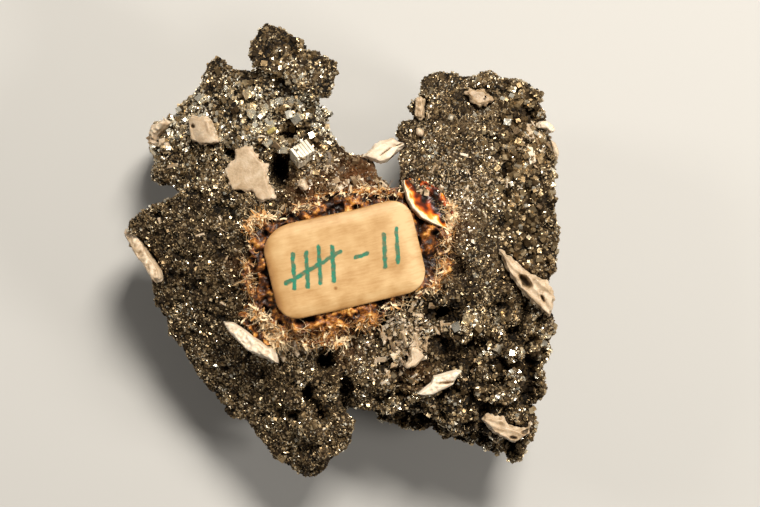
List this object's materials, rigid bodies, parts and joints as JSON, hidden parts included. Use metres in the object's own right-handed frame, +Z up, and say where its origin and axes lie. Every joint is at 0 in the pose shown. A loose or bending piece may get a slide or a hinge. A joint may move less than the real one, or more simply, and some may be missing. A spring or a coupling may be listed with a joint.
{
  "type": "mineral specimen",
  "caption": "Heart-shaped group of thick hexagonal pyrite plates grown after pyrrhotite, with cream calcite blades and a small collector's label bedded in old glue on its back.",
  "frame": {"origin": "on the table, under the middle of the specimen's bounding box", "axes": "+Z up, out of the label, through the specimen's thickness; +Y towards the open notch between the two wings; +X to the right, seen with the label facing the viewer"},
  "size_m": [0.0575, 0.0598, 0.0273],
  "materials": {
    "pyrite": "satin",
    "calcite": "satin",
    "glue": "satin",
    "card": "satin"
  },
  "bodies": {
    "root": {"pyrite_mass": "pyrite", "glue_pad": "glue", "card_label": "card", "calcite_large_plate": "calcite", "calcite_upper_left": "calcite", "calcite_left_edge": "calcite", "calcite_bridge": "calcite", "calcite_upper_right": "calcite", "calcite_notch_edge": "calcite", "calcite_right_corner": "calcite", "calcite_right_rim": "calcite", "calcite_right_blade": "calcite", "calcite_lower_middle": "calcite", "calcite_lower_right": "calcite", "calcite_lower_left": "calcite", "calcite_hollow_blade": "calcite", "calcite_above_label": "calcite", "calcite_bead": "calcite", "calcite_stub": "calcite", "calcite_far_corner": "calcite"}
  },
  "joints": []
}
